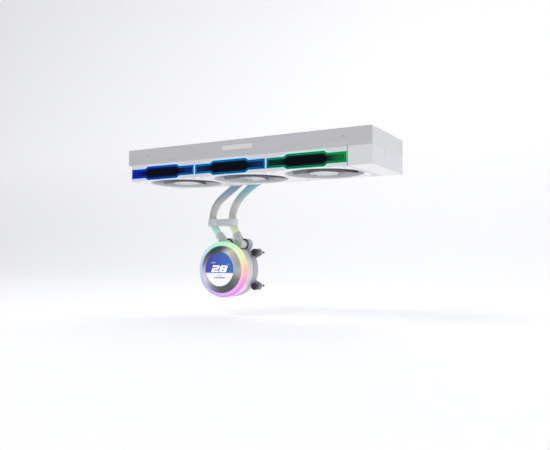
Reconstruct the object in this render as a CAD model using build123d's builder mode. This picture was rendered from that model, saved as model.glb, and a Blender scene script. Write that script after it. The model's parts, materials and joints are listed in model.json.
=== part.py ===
from build123d import *
import math
import os

# Closed-loop liquid cooler: a three-fan radiator, two hoses and a round pump head.
# Millimetres. +X runs along the radiator towards the end block, -Y is the mirrored front,
# +Z is up. The origin is the centre of the middle fan's screw pattern on the radiator's top face.

# ---------------------------------------------------------------- driving dimensions
RADIATOR_LENGTH = 400.0
RADIATOR_WIDTH = 122.0
RADIATOR_HEIGHT = 24.0
FAN_PITCH = 120.0
FAN_HEIGHT = 25.0
FAN_SCREW_SPACING = 105.0
RETURN_TANK_LENGTH = 10.0
PORT_TANK_LENGTH = 30.0
PLUG_HEAD = 0.8
SHEET = 1.6
FIT_GAP = 0.1

# radiator, all along X
LEFT_END = -186.0
RIGHT_END = LEFT_END + RADIATOR_LENGTH - PLUG_HEAD
CORE_LEFT = LEFT_END + RETURN_TANK_LENGTH
CORE_RIGHT = RIGHT_END - PORT_TANK_LENGTH
FRONT = -RADIATOR_WIDTH / 2
REAR = RADIATOR_WIDTH / 2
RADIATOR_BOTTOM = -RADIATOR_HEIGHT
TANK_WIDTH = RADIATOR_WIDTH - 2 * SHEET
HEADER_SHEET = 1.5
TUBE_COUNT = 10
TUBE_PITCH = 9.6
TUBE_WIDTH = 20.0
TUBE_THICKNESS = 2.0
RAIL_FLANGE = 14.0
RAIL_SHEET = 1.5
M3_HOLE = 1.5
M3_SHANK = 1.45
FAN_THREAD = 1.75
FAN_SHANK = 1.7
RAIL_SCREW_REACH = 161.0
RAIL_SCREW_HEIGHT = -10.7
BODY_CENTRE = (LEFT_END + RIGHT_END) / 2
BADGE_LENGTH = 50.0
BADGE_HEIGHT = 6.5
BADGE_SHEET = 0.7

# fans
FAN_BOTTOM = RADIATOR_BOTTOM - FAN_HEIGHT
FAN_LENGTH = FAN_PITCH - 0.2
FAN_CENTRES = (-FAN_PITCH, 0.0, FAN_PITCH)
DUCT_RADIUS = 55.0
BLADE_TIP_RADIUS = 53.8
BLADE_COUNT = 9
HUB_RADIUS = 21.0
# blade sections: radius, sweep-back angle, chord, pitch angle, camber, thickness
BLADE_SECTIONS = (
    (HUB_RADIUS - 1.2, 0.0, 19.0, 44.0, 2.4, 2.0),
    (BLADE_TIP_RADIUS + 2.0, 14.0, 29.0, 27.0, 3.4, 1.4),
)
HUB_WALL = 2.6
HUB_FACE = FAN_BOTTOM + 1.8
HUB_TOP = FAN_BOTTOM + 18.5
HUB_CAP_SHEET = 1.0
MAGNET_SHEET = 2.0
MOTOR_PLATE_RADIUS = 20.0
MOTOR_PLATE_SHEET = 3.0
STRUT_WIDTH = 6.0
BEARING_TUBE_RADIUS = 4.5
BEARING_RADIUS = 3.0
SHAFT_RADIUS = 1.5
RUNNING_GAP = 0.05
FAN_HOLE = 2.2

# mirror windows in the fans' long sides
WINDOW_HALF = 59.1
WINDOW_NARROW = 7.3
WINDOW_WIDE = 10.6
WINDOW_SHOULDER_OUT = 32.5
WINDOW_SHOULDER_IN = 27.5
WINDOW_HEIGHT = -37.5
WINDOW_SHEET = 1.2
WINDOW_GAP = 1.4
LIGHT_STRIP_SHEET = 1.4

# end block below the port tank
BLOCK_LEFT = FAN_CENTRES[2] + FAN_PITCH / 2 + 0.2
BLOCK_TOP = RADIATOR_BOTTOM
BLOCK_BOTTOM = FAN_BOTTOM
BLOCK_WALL = 1.8
PORT_X = 197.0
PORT_HEIGHTS = (-10.0, -32.0)
PORT_BORE = 4.5
PLUG_Y = -3.4
PLUG_Z = -29.6
PLUG_HEAD_RADIUS = 9.5
PLUG_STEM_RADIUS = 3.9
MANIFOLD_FRONT = -30.0

# hoses and their fittings
HOSE_DIAMETER = 12.0
COLLAR_RADIUS = 7.3
COLLAR_LENGTH = 11.0
BARREL_RADIUS = 6.5
HOSE_START_REACH = 19.95
RADIATOR_HOSE_Y = 73.0
RADIATOR_HOSE_X = 174.0
LEG_RADIUS = 5.0

# pump head, its axis along Y and its display facing -Y
PUMP_X = -77.8
PUMP_Z = -184.6
DISPLAY_FACE = 30.0
DISPLAY_RADIUS = 26.65
BEZEL_RADIUS = 37.4
BEZEL_DROP = 5.0
RING_RADIUS = 44.7
RING_FRONT = 36.0
RING_BACK = 46.5
RING_INNER = 31.7
SHROUD_RADIUS = 42.5
SHROUD_TOP = 32.4
SHROUD_WALL = 1.8
BASE_FRONT = 64.0
BASE_BACK = 76.0
BASE_RADIUS = 44.0
NECK_RADIUS = 36.0
NECK_BACK = 82.0
PLATE_SIZE = 58.0
PLATE_BACK = 86.0
BRACKET_SHEET = 2.5
BRACKET_X = 90.0
BRACKET_Z = 54.0
BRACKET_SHANK = 1.9
SHANK_END = 79.5
BRACKET_STUD = 1.6
STUD_END = 93.0
SPRING_FRONT = 68.6
THUMB_RADIUS = 6.0
PUMP_PORTS = ((-83.0, -143.5), (-53.0, -144.5))
PORT_LOBE_RADIUS = 9.5
ELBOW_FRONT = 49.5
ELBOW_LEG_Y = 56.2
ELBOW_TURNS = (130.0, 118.0)

# hose centre lines from the pump head to the radiator
LEFT_ROUTE = [
    (-95.86, 56.2, -128.18), (-105.50, 56.2, -116.69), (-110.4, 57.8, -102.5), (-109.9, 60.8, -87.8),
    (-103.6, 64.6, -73.8), (-90.8, 68.8, -61.5), (-71.0, 72.5, -46.5), (-44.0, 74.5, -27.5),
    (-4.0, 75.5, -13.5), (44.0, 76.0, -11.5), (92.0, 74.0, -8.5), (138.0, 73.0, -10.0),
    (174.0, 73.0, -10.0),
]
RIGHT_ROUTE = [
    (-62.39, 56.2, -126.84), (-69.20, 56.2, -114.03), (-71.9, 57.8, -99.3), (-69.9, 61.0, -84.6),
    (-63.2, 65.0, -70.4), (-51.6, 69.5, -57.2), (-32.0, 73.5, -42.2), (0.0, 75.5, -33.0),
    (40.0, 76.5, -31.5), (88.0, 74.5, -34.5), (136.0, 73.0, -32.0), (174.0, 73.0, -32.0),
]
COMB_SHARES = (0.54, 0.34)
COMB_HEIGHT = 11.0
COMB_RING = 8.9
COMB_BORE = 7.1
COMB_DEPTH = 12.0


os.makedirs("parts", exist_ok=True)


def write(piece, name):
    """Label a finished piece and write its STEP file."""
    piece.part.label = name
    export_step(piece.part, f"parts/{name}.step")


def fan_screw_spots(centre_x):
    """Corner places of one fan's screw pattern."""
    half = FAN_SCREW_SPACING / 2
    return [(centre_x + sx * half, sy * half) for sx in (-1, 1) for sy in (-1, 1)]


# ---------------------------------------------------------------- radiator
def side_rail(side):
    """C-shaped side rail: a web over the full length, flanges beside the core only."""
    web_y = side * (RADIATOR_WIDTH - SHEET) / 2
    flange_y = side * (RADIATOR_WIDTH - RAIL_FLANGE) / 2
    rail_screws = [
        (BODY_CENTRE + end * RAIL_SCREW_REACH, side * REAR, RAIL_SCREW_HEIGHT) for end in (-1, 1)
    ]
    with BuildPart() as rail:
        with BuildSketch(Plane.YZ.offset(LEFT_END)):
            with Locations((web_y, RADIATOR_BOTTOM / 2)):
                Rectangle(SHEET, RADIATOR_HEIGHT)
        extrude(amount=RIGHT_END - LEFT_END)
        with BuildSketch(Plane.YZ.offset(CORE_LEFT)):
            for height in (-RAIL_SHEET / 2, RADIATOR_BOTTOM + RAIL_SHEET / 2):
                with Locations((flange_y, height)):
                    Rectangle(RAIL_FLANGE, RAIL_SHEET)
        extrude(amount=CORE_RIGHT - CORE_LEFT)
        for centre_x in FAN_CENTRES:
            spots = [spot for spot in fan_screw_spots(centre_x) if spot[1] * side > 0]
            with Locations(*[(x, y, 0) for x, y in spots]):
                Hole(radius=M3_HOLE, depth=RAIL_SHEET)
            with Locations(*[(x, y, RADIATOR_BOTTOM + RAIL_SHEET) for x, y in spots]):
                Hole(radius=FAN_THREAD, depth=RAIL_SHEET)
        with Locations(*[Plane(origin=spot, z_dir=(0, side, 0)) for spot in rail_screws]):
            Hole(radius=M3_HOLE, depth=SHEET)
        if side > 0:
            with Locations(Plane(origin=(PORT_X, REAR, PORT_HEIGHTS[0]), z_dir=(0, 1, 0))):
                Hole(radius=BARREL_RADIUS - 0.3, depth=SHEET)
    return rail


def tank(start_x, length, mouth_side):
    """End tank, open towards the core, with its mouth closed by a header plate."""
    wall = 1.5
    with BuildPart() as body:
        with BuildSketch(Plane.YZ.offset(start_x)):
            with Locations((0, RADIATOR_BOTTOM / 2)):
                Rectangle(TANK_WIDTH, RADIATOR_HEIGHT)
        extrude(amount=length)
        outer = body.faces().sort_by(Axis.X)[-1 if mouth_side < 0 else 0]
        fillet(outer.edges().filter_by(Axis.Y), radius=0.8)
        mouth = start_x if mouth_side < 0 else start_x + wall
        with BuildSketch(Plane.YZ.offset(mouth)):
            with Locations((0, RADIATOR_BOTTOM / 2)):
                Rectangle(TANK_WIDTH - 2 * wall, RADIATOR_HEIGHT - 2 * wall)
        extrude(amount=length - wall, mode=Mode.SUBTRACT)
    return body


def rail_screw_group():
    """Small countersunk screws that hold the rails to the tanks and core."""
    with BuildPart() as screws:
        for side in (-1, 1):
            for end in (-1, 1):
                spot = (BODY_CENTRE + end * RAIL_SCREW_REACH, side * REAR, RAIL_SCREW_HEIGHT)
                with BuildSketch(Plane(origin=spot, z_dir=(0, side, 0))):
                    Circle(1.9)
                extrude(amount=0.5)
                with BuildSketch(Plane(origin=spot, z_dir=(0, -side, 0))):
                    Circle(M3_SHANK)
                extrude(amount=6.0)
    return screws


with BuildPart() as core_tubes:
    with BuildSketch(Plane.YZ.offset(CORE_LEFT - HEADER_SHEET)):
        with GridLocations(TUBE_PITCH, 1, TUBE_COUNT, 1):
            with Locations((0, RADIATOR_BOTTOM / 2)):
                SlotOverall(TUBE_WIDTH, TUBE_THICKNESS, rotation=90)
    extrude(amount=CORE_RIGHT - CORE_LEFT + 2 * HEADER_SHEET)
write(core_tubes, "core_tubes")

with BuildPart() as fin_strips:
    with BuildSketch(Plane.YZ.offset(CORE_LEFT)):
        with GridLocations(TUBE_PITCH, 1, TUBE_COUNT - 1, 1):
            with Locations((0, RADIATOR_BOTTOM / 2)):
                Rectangle(TUBE_PITCH - TUBE_THICKNESS, TUBE_WIDTH - 1)
    extrude(amount=CORE_RIGHT - CORE_LEFT)
write(fin_strips, "fin_strips")

with BuildPart() as header_plates:
    for plate_x in (CORE_LEFT - HEADER_SHEET, CORE_RIGHT):
        with BuildSketch(Plane.YZ.offset(plate_x)):
            with Locations((0, RADIATOR_BOTTOM / 2)):
                Rectangle(TANK_WIDTH, RADIATOR_HEIGHT)
            with GridLocations(TUBE_PITCH, 1, TUBE_COUNT, 1):
                with Locations((0, RADIATOR_BOTTOM / 2)):
                    SlotOverall(TUBE_WIDTH, TUBE_THICKNESS, rotation=90, mode=Mode.SUBTRACT)
        extrude(amount=HEADER_SHEET)
write(header_plates, "header_plates")

return_tank = tank(LEFT_END, RETURN_TANK_LENGTH - HEADER_SHEET, 1)
write(return_tank, "return_tank")

TANK_START = CORE_RIGHT + HEADER_SHEET
port_tank = tank(TANK_START, RIGHT_END - TANK_START, -1)
with port_tank:
    with Locations(Plane(origin=(PORT_X, TANK_WIDTH / 2, PORT_HEIGHTS[0]), z_dir=(0, 1, 0))):
        Hole(radius=BARREL_RADIUS - 1.0, depth=2.0)
    with Locations(Plane(origin=(PORT_X, MANIFOLD_FRONT + 9, RADIATOR_BOTTOM), z_dir=(0, 0, -1))):
        Hole(radius=PORT_BORE, depth=2.0)
write(port_tank, "port_tank")

with BuildPart() as tank_divider:
    with BuildSketch(Plane.YZ.offset(TANK_START)):
        with Locations((0, RADIATOR_BOTTOM / 2)):
            Rectangle(1.2, RADIATOR_HEIGHT - 3.0)
    extrude(amount=RIGHT_END - TANK_START - 1.5)
write(tank_divider, "tank_divider")

front_rail = side_rail(-1)
write(front_rail, "front_rail")
rear_rail = side_rail(1)
write(rear_rail, "rear_rail")
rail_screws = rail_screw_group()
write(rail_screws, "rail_screws")

badge_spot = (BODY_CENTRE, FRONT, RAIL_SCREW_HEIGHT)
badge_plane = Plane(origin=badge_spot, x_dir=(1, 0, 0), z_dir=(0, -1, 0))
with BuildPart() as blank_badge:
    with BuildSketch(badge_plane):
        RectangleRounded(BADGE_LENGTH, BADGE_HEIGHT, 2.0)
    extrude(amount=BADGE_SHEET)
write(blank_badge, "blank_badge")

# ---------------------------------------------------------------- end block
BLOCK_CENTRE = (BLOCK_LEFT + RIGHT_END) / 2
BLOCK_LENGTH = RIGHT_END - BLOCK_LEFT
BLOCK_HEIGHT = BLOCK_TOP - BLOCK_BOTTOM

with BuildPart() as end_cover:
    with BuildSketch(Plane.XY.offset(BLOCK_BOTTOM)):
        with Locations((BLOCK_CENTRE, 0)):
            Rectangle(BLOCK_LENGTH, RADIATOR_WIDTH)
    extrude(amount=BLOCK_HEIGHT)
    fillet(end_cover.edges().filter_by(Axis.Z).group_by(Axis.X)[-1], radius=1.0)
    with BuildSketch(Plane.XY.offset(BLOCK_BOTTOM + BLOCK_WALL)):
        with Locations((BLOCK_CENTRE, 0)):
            Rectangle(BLOCK_LENGTH - 2 * BLOCK_WALL, RADIATOR_WIDTH - 2 * BLOCK_WALL)
    extrude(amount=BLOCK_HEIGHT, mode=Mode.SUBTRACT)
    with BuildSketch(Plane.XY.offset(BLOCK_BOTTOM)):
        with Locations((BLOCK_LEFT + 1.6, 3.0)):
            RectangleRounded(2.0, 59.0, 0.9)
        with Locations((BLOCK_LEFT + 1.6, 48.0)):
            RectangleRounded(2.0, 17.0, 0.9)
    extrude(amount=1.2, mode=Mode.SUBTRACT)
    with Locations(Plane(origin=(PORT_X, REAR, PORT_HEIGHTS[1]), z_dir=(0, 1, 0))):
        Hole(radius=BARREL_RADIUS - 0.3, depth=BLOCK_WALL)
    with Locations(Plane(origin=(RIGHT_END, PLUG_Y, PLUG_Z), z_dir=(1, 0, 0))):
        Hole(radius=PLUG_STEM_RADIUS + FIT_GAP, depth=BLOCK_WALL)
write(end_cover, "end_cover")

MANIFOLD_LEFT = 187.0
MANIFOLD_RIGHT = 209.0
MANIFOLD_REAR = REAR - BLOCK_WALL - 0.4
MANIFOLD_BOTTOM = -44.0
with BuildPart() as port_manifold:
    with BuildSketch(Plane.XY.offset(MANIFOLD_BOTTOM)):
        with Locations(((MANIFOLD_LEFT + MANIFOLD_RIGHT) / 2, (MANIFOLD_FRONT + MANIFOLD_REAR) / 2)):
            RectangleRounded(MANIFOLD_RIGHT - MANIFOLD_LEFT, MANIFOLD_REAR - MANIFOLD_FRONT, 3.0)
    extrude(amount=BLOCK_TOP - MANIFOLD_BOTTOM)
    with Locations((PORT_X, MANIFOLD_FRONT + 9, BLOCK_TOP)):
        Hole(radius=PORT_BORE, depth=BLOCK_TOP - PORT_HEIGHTS[1])
    with Locations(Plane(origin=(PORT_X, MANIFOLD_REAR, PORT_HEIGHTS[1]), z_dir=(0, 1, 0))):
        Hole(radius=PORT_BORE, depth=MANIFOLD_REAR - MANIFOLD_FRONT - 9)
    with Locations(Plane(origin=(MANIFOLD_RIGHT, PLUG_Y, PLUG_Z), z_dir=(1, 0, 0))):
        Hole(radius=PLUG_STEM_RADIUS, depth=MANIFOLD_RIGHT - PORT_X)
write(port_manifold, "port_manifold")

with BuildPart() as fill_plug:
    with BuildSketch(Plane(origin=(RIGHT_END, PLUG_Y, PLUG_Z), z_dir=(1, 0, 0))):
        Circle(PLUG_HEAD_RADIUS)
    extrude(amount=PLUG_HEAD)
    chamfer(fill_plug.faces().sort_by(Axis.X)[-1].edges(), length=0.4)
    with BuildSketch(Plane(origin=(RIGHT_END, PLUG_Y, PLUG_Z), z_dir=(-1, 0, 0))):
        Circle(PLUG_STEM_RADIUS - FIT_GAP)
    extrude(amount=RIGHT_END - MANIFOLD_RIGHT + 5.0)
    with BuildSketch(Plane(origin=(RIGHT_END + PLUG_HEAD, PLUG_Y, PLUG_Z + 3.2), z_dir=(1, 0, 0))):
        SlotOverall(5.0, 1.4)
    extrude(amount=-0.5, mode=Mode.SUBTRACT)
write(fill_plug, "fill_plug")


# ---------------------------------------------------------------- fans
def window_outline():
    """Half-corner points of the mirror window, mirrored into its whole outline."""
    corner = [
        (WINDOW_HALF, WINDOW_NARROW),
        (WINDOW_SHOULDER_OUT, WINDOW_NARROW),
        (WINDOW_SHOULDER_IN, WINDOW_WIDE),
    ]
    upper = corner + [(-x, y) for x, y in reversed(corner)]
    lower = [(x, -y) for x, y in reversed(upper)]
    return upper + lower


def window_plane(centre_x, side, inset):
    """Plane of a fan's mirror window, its normal pointing out of the fan."""
    return Plane(
        origin=(centre_x, side * (REAR - inset), WINDOW_HEIGHT), x_dir=(1, 0, 0), z_dir=(0, side, 0)
    )


def fan_frame(centre_x):
    """Square frame with its duct, motor plate, four struts and two window recesses."""
    strut_top = RADIATOR_BOTTOM - MOTOR_PLATE_SHEET
    with BuildPart() as frame:
        with BuildSketch(Plane.XY.offset(FAN_BOTTOM)):
            with Locations((centre_x, 0)):
                Rectangle(FAN_LENGTH, RADIATOR_WIDTH)
                Circle(DUCT_RADIUS, mode=Mode.SUBTRACT)
        extrude(amount=FAN_HEIGHT)
        chamfer(
            frame.edges().filter_by(GeomType.CIRCLE).sort_by(Axis.Z)[:1], length=1.2
        )
        for side in (-1, 1):
            with BuildSketch(window_plane(centre_x, side, 0)):
                Polygon(*window_outline(), align=None)
            extrude(amount=-(WINDOW_SHEET + WINDOW_GAP + LIGHT_STRIP_SHEET), mode=Mode.SUBTRACT)
        with BuildSketch(Plane.XY.offset(strut_top)):
            with Locations((centre_x, 0)):
                Circle(MOTOR_PLATE_RADIUS)
                for turn in (45, 135):
                    Rectangle(2 * DUCT_RADIUS + 2, STRUT_WIDTH, rotation=turn)
        extrude(amount=MOTOR_PLATE_SHEET)
        with BuildSketch(Plane.XY.offset(FAN_BOTTOM + 6.0)):
            with Locations((centre_x, 0)):
                Circle(BEARING_TUBE_RADIUS)
                Circle(BEARING_RADIUS, mode=Mode.SUBTRACT)
        extrude(amount=strut_top - FAN_BOTTOM - 6.0)
        with Locations(*[(x, y, RADIATOR_BOTTOM) for x, y in fan_screw_spots(centre_x)]):
            Hole(radius=FAN_HOLE, depth=FAN_HEIGHT)
        with Locations(*[
            Plane(origin=(x, y, FAN_BOTTOM), z_dir=(0, 0, -1)) for x, y in fan_screw_spots(centre_x)
        ]):
            CounterBoreHole(FAN_HOLE, 3.6, 2.6, FAN_HEIGHT)
    return frame


def blade_plane(centre_x, turn, radius):
    """Plane square to a blade's radius, with the tangent as its X and +Z as its Y."""
    angle = math.radians(turn)
    out = Vector(math.cos(angle), math.sin(angle), 0)
    tangent = (-math.sin(angle), math.cos(angle), 0)
    middle = (HUB_FACE + HUB_TOP) / 2 + 0.6
    return Plane(
        origin=(centre_x + out.X * radius, out.Y * radius, middle), x_dir=tangent, z_dir=tuple(out)
    )


def fan_rotor(centre_x):
    """Cup-shaped hub with nine twisted blades cut to one tip circle."""
    with BuildPart() as rotor:
        for number in range(BLADE_COUNT):
            turn = number * 360 / BLADE_COUNT + 10
            for radius, sweep_back, chord, pitch, camber, thickness in BLADE_SECTIONS:
                with BuildSketch(blade_plane(centre_x, turn + sweep_back, radius)):
                    with BuildLine(Plane.XY.rotated((0, 0, pitch))):
                        ThreePointArc((-chord / 2, 0), (0, camber + thickness), (chord / 2, 0))
                        ThreePointArc((-chord / 2, 0), (0, camber), (chord / 2, 0))
                    make_face()
            loft()
        with BuildSketch(Plane.XY.offset(HUB_FACE)):
            with Locations((centre_x, 0)):
                Circle(BLADE_TIP_RADIUS)
        extrude(amount=HUB_TOP - HUB_FACE, mode=Mode.INTERSECT)
        with BuildSketch(Plane.XY.offset(HUB_FACE)):
            with Locations((centre_x, 0)):
                Circle(HUB_RADIUS)
        extrude(amount=HUB_TOP - HUB_FACE)
        with BuildSketch(Plane.XY.offset(HUB_FACE + 2.0)):
            with Locations((centre_x, 0)):
                Circle(HUB_RADIUS - HUB_WALL)
        extrude(amount=HUB_TOP - HUB_FACE, mode=Mode.SUBTRACT)
        with BuildSketch(Plane.XY.offset(HUB_FACE)):
            with Locations((centre_x, 0)):
                Circle(SHAFT_RADIUS)
        extrude(amount=2.0, mode=Mode.SUBTRACT)
    return rotor


def disc(centre_x, bottom, height, radius):
    """Plain round piece on a fan's axis."""
    with BuildPart() as piece:
        with BuildSketch(Plane.XY.offset(bottom)):
            with Locations((centre_x, 0)):
                Circle(radius)
        extrude(amount=height)
    return piece


def magnet_ring(centre_x):
    """Ring magnet pressed into a fan's hub."""
    with BuildPart() as ring:
        with BuildSketch(Plane.XY.offset(FAN_BOTTOM + 5.0)):
            with Locations((centre_x, 0)):
                Circle(HUB_RADIUS - HUB_WALL)
                Circle(HUB_RADIUS - HUB_WALL - MAGNET_SHEET, mode=Mode.SUBTRACT)
        extrude(amount=12.0)
    return ring


def mirror_windows(centre_x):
    """Tinted mirror pane on each long side of a fan."""
    with BuildPart() as panes:
        for side in (-1, 1):
            with BuildSketch(window_plane(centre_x, side, 0)):
                Polygon(*window_outline(), align=None)
            extrude(amount=-WINDOW_SHEET)
    return panes


for fan_number, fan_x in enumerate(FAN_CENTRES, start=1):
    name = f"fan_{fan_number}"
    write(fan_frame(fan_x), f"{name}_frame")
    write(fan_rotor(fan_x), f"{name}_rotor")
    write(disc(fan_x, HUB_FACE - HUB_CAP_SHEET, HUB_CAP_SHEET, HUB_RADIUS - 0.4), f"{name}_hub_mirror")
    write(disc(fan_x, HUB_FACE, HUB_TOP + 2.0 - HUB_FACE, SHAFT_RADIUS), f"{name}_shaft")
    write(magnet_ring(fan_x), f"{name}_magnet_ring")
    write(mirror_windows(fan_x), f"{name}_mirror_windows")

with BuildPart() as fan_light_strips:
    for fan_x in FAN_CENTRES:
        for side in (-1, 1):
            with BuildSketch(window_plane(fan_x, side, WINDOW_SHEET + WINDOW_GAP)):
                Polygon(*window_outline(), align=None)
            extrude(amount=-LIGHT_STRIP_SHEET)
write(fan_light_strips, "fan_light_strips")

with BuildPart() as fan_bearings:
    with BuildSketch(Plane.XY.offset(FAN_BOTTOM + 6.0)):
        with GridLocations(FAN_PITCH, 1, 3, 1):
            Circle(BEARING_RADIUS)
            Circle(SHAFT_RADIUS + RUNNING_GAP, mode=Mode.SUBTRACT)
    extrude(amount=15.0)
write(fan_bearings, "fan_bearings")

# four-pole stator cores around the bearing tubes, with their pole shoes
with BuildPart() as fan_stators:
    with BuildSketch(Plane.XY.offset(FAN_BOTTOM + 7.0)):
        with GridLocations(FAN_PITCH, 1, 3, 1):
            Circle(16.0)
            Circle(12.8, mode=Mode.SUBTRACT)
            Rectangle(34.0, 5.0, rotation=45, mode=Mode.SUBTRACT)
            Rectangle(34.0, 5.0, rotation=135, mode=Mode.SUBTRACT)
            Rectangle(28.0, 6.0)
            Rectangle(6.0, 28.0)
            Circle(7.5)
            Circle(BEARING_TUBE_RADIUS, mode=Mode.SUBTRACT)
    extrude(amount=9.0)
write(fan_stators, "fan_stators")

with BuildPart() as fan_screws:
    for fan_x in FAN_CENTRES:
        for spot_x, spot_y in fan_screw_spots(fan_x):
            with BuildSketch(Plane.XY.offset(FAN_BOTTOM + 0.4)):
                with Locations((spot_x, spot_y)):
                    Circle(3.2)
            extrude(amount=2.2)
            with BuildSketch(Plane.XY.offset(FAN_BOTTOM + 2.6)):
                with Locations((spot_x, spot_y)):
                    Circle(FAN_SHANK)
            extrude(amount=25.4)
            with BuildSketch(Plane.XY.offset(FAN_BOTTOM + 0.4)):
                with Locations((spot_x, spot_y)):
                    Rectangle(4.0, 0.9)
                    Rectangle(0.9, 4.0)
            extrude(amount=0.9, mode=Mode.SUBTRACT)
write(fan_screws, "fan_screws")


# ---------------------------------------------------------------- pump head
def across(depth, x=PUMP_X, z=PUMP_Z):
    """Plane facing the front at a depth in Y, its X along +X and its Y along +Z."""
    return Plane(origin=(x, depth, z), x_dir=(1, 0, 0), z_dir=(0, -1, 0))


def turned(points):
    """Solid of revolution about the pump's axis from (radius, Y) points."""
    with BuildPart() as solid:
        with BuildSketch(Plane(origin=(PUMP_X, 0, PUMP_Z))):
            Polygon(*points, align=None)
        revolve(axis=Axis((PUMP_X, 0, PUMP_Z), (0, 1, 0)))
    return solid


CHAMBER_RADIUS = 16.0
CHAMBER_FRONT = 72.0
CAN_INNER = 8.0
CAN_OUTER = 9.0
CAN_FRONT = 54.0

with BuildPart() as pump_base:
    with BuildSketch(across(BASE_BACK)):
        Circle(BASE_RADIUS)
        for port_x, port_z in PUMP_PORTS:
            with Locations((port_x - PUMP_X, port_z - PUMP_Z)):
                Circle(PORT_LOBE_RADIUS)
    extrude(amount=BASE_BACK - BASE_FRONT)
    fillet(pump_base.faces().sort_by(Axis.Y)[0].edges(), radius=1.2)
    with BuildSketch(across(NECK_BACK)):
        Circle(NECK_RADIUS)
    extrude(amount=NECK_BACK - BASE_BACK)
    with BuildSketch(across(NECK_BACK)):
        Circle(CHAMBER_RADIUS)
    extrude(amount=NECK_BACK - CHAMBER_FRONT, mode=Mode.SUBTRACT)
    with BuildSketch(across(CHAMBER_FRONT)):
        Circle(CAN_OUTER + 2.0)
    extrude(amount=CHAMBER_FRONT - BASE_FRONT, mode=Mode.SUBTRACT)
    for port_x, port_z in PUMP_PORTS:
        with BuildSketch(across(BASE_FRONT + 8.0, port_x, port_z)):
            Circle(PORT_BORE)
        extrude(amount=8.0, mode=Mode.SUBTRACT)
write(pump_base, "pump_base")

rotor_can = turned([
    (0, CAN_FRONT), (CAN_OUTER, CAN_FRONT), (CAN_OUTER, CHAMBER_FRONT - 2.0),
    (CAN_OUTER + 2.0, CHAMBER_FRONT - 2.0), (CAN_OUTER + 2.0, CHAMBER_FRONT),
    (CAN_INNER, CHAMBER_FRONT), (CAN_INNER, CAN_FRONT + 1.0), (2.5, CAN_FRONT + 1.0),
    (2.5, CAN_FRONT + 4.0), (SHAFT_RADIUS, CAN_FRONT + 4.0), (SHAFT_RADIUS, CAN_FRONT + 1.0),
    (0, CAN_FRONT + 1.0),
])
write(rotor_can, "rotor_can")

pump_shaft = turned([
    (0, CAN_FRONT + 1.0), (SHAFT_RADIUS, CAN_FRONT + 1.0), (SHAFT_RADIUS, 80.0), (0, 80.0)
])
write(pump_shaft, "pump_shaft")

with BuildPart() as impeller:
    with BuildSketch(across(CHAMBER_FRONT + 3.0)):
        Circle(13.5)
    extrude(amount=1.5)
    with BuildSketch(across(CHAMBER_FRONT + 7.5)):
        with PolarLocations(8.2, 6):
            Rectangle(9.0, 1.4, rotation=28)
        Circle(4.5)
    extrude(amount=4.5)
    with BuildSketch(across(CHAMBER_FRONT + 1.5)):
        Circle(CAN_INNER - 1.0)
    extrude(amount=CHAMBER_FRONT + 1.5 - CAN_FRONT - 6.0)
    with BuildSketch(across(80.0)):
        Circle(SHAFT_RADIUS + RUNNING_GAP)
    extrude(amount=80.0 - CAN_FRONT, mode=Mode.SUBTRACT)
write(impeller, "impeller")

with BuildPart() as pump_stator:
    with BuildSketch(across(BASE_FRONT)):
        Circle(22.0)
        Circle(18.0, mode=Mode.SUBTRACT)
        with PolarLocations(13.8, 6):
            Rectangle(9.2, 4.2)
        Circle(CAN_OUTER + 0.2, mode=Mode.SUBTRACT)
    extrude(amount=8.0)
write(pump_stator, "pump_stator")

# round shell with a flat top that leaves room for the swivel elbows
with BuildPart() as pump_shroud:
    with BuildSketch(across(BASE_FRONT)):
        Circle(SHROUD_RADIUS)
        with Locations((0, SHROUD_TOP)):
            Rectangle(2 * SHROUD_RADIUS, SHROUD_RADIUS, align=(Align.CENTER, Align.MIN), mode=Mode.SUBTRACT)
        offset(amount=-SHROUD_WALL, kind=Kind.INTERSECTION, mode=Mode.SUBTRACT)
    extrude(amount=BASE_FRONT - RING_BACK)
write(pump_shroud, "pump_shroud")

light_ring = turned([
    (BEZEL_RADIUS + 0.3, RING_FRONT), (RING_RADIUS - 3.5, RING_FRONT),
    (RING_RADIUS - 1.2, RING_FRONT + 1.2), (RING_RADIUS, RING_FRONT + 4.0),
    (RING_RADIUS, RING_BACK - 2.0), (RING_RADIUS - 1.5, RING_BACK),
    (RING_INNER, RING_BACK), (RING_INNER, RING_BACK - 3.0),
    (BEZEL_RADIUS + 0.3, RING_BACK - 3.0),
])
write(light_ring, "light_ring")

with BuildPart() as control_board:
    with BuildSketch(across(RING_BACK - 1.0)):
        Circle(RING_INNER - 1.2)
        with PolarLocations(24.0, 3):
            Circle(1.6, mode=Mode.SUBTRACT)
    extrude(amount=1.6)
write(control_board, "control_board")

display_bezel = turned([
    (DISPLAY_RADIUS + 0.1, DISPLAY_FACE), (DISPLAY_RADIUS + 1.6, DISPLAY_FACE),
    (BEZEL_RADIUS, DISPLAY_FACE + BEZEL_DROP), (BEZEL_RADIUS, RING_BACK - 3.0),
    (BEZEL_RADIUS - 2.5, RING_BACK - 3.0), (BEZEL_RADIUS - 2.5, DISPLAY_FACE + BEZEL_DROP + 2.0),
    (DISPLAY_RADIUS + 0.1, DISPLAY_FACE + BEZEL_DROP + 2.0),
])
write(display_bezel, "display_bezel")

display_glass = turned([
    (0, DISPLAY_FACE + 0.2), (DISPLAY_RADIUS, DISPLAY_FACE + 0.2),
    (DISPLAY_RADIUS, DISPLAY_FACE + 1.2), (0, DISPLAY_FACE + 1.2),
])
write(display_glass, "display_glass")

display_panel = turned([
    (0, DISPLAY_FACE + 1.2), (DISPLAY_RADIUS, DISPLAY_FACE + 1.2),
    (DISPLAY_RADIUS, DISPLAY_FACE + 3.8), (0, DISPLAY_FACE + 3.8),
])
write(display_panel, "display_panel")

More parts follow.
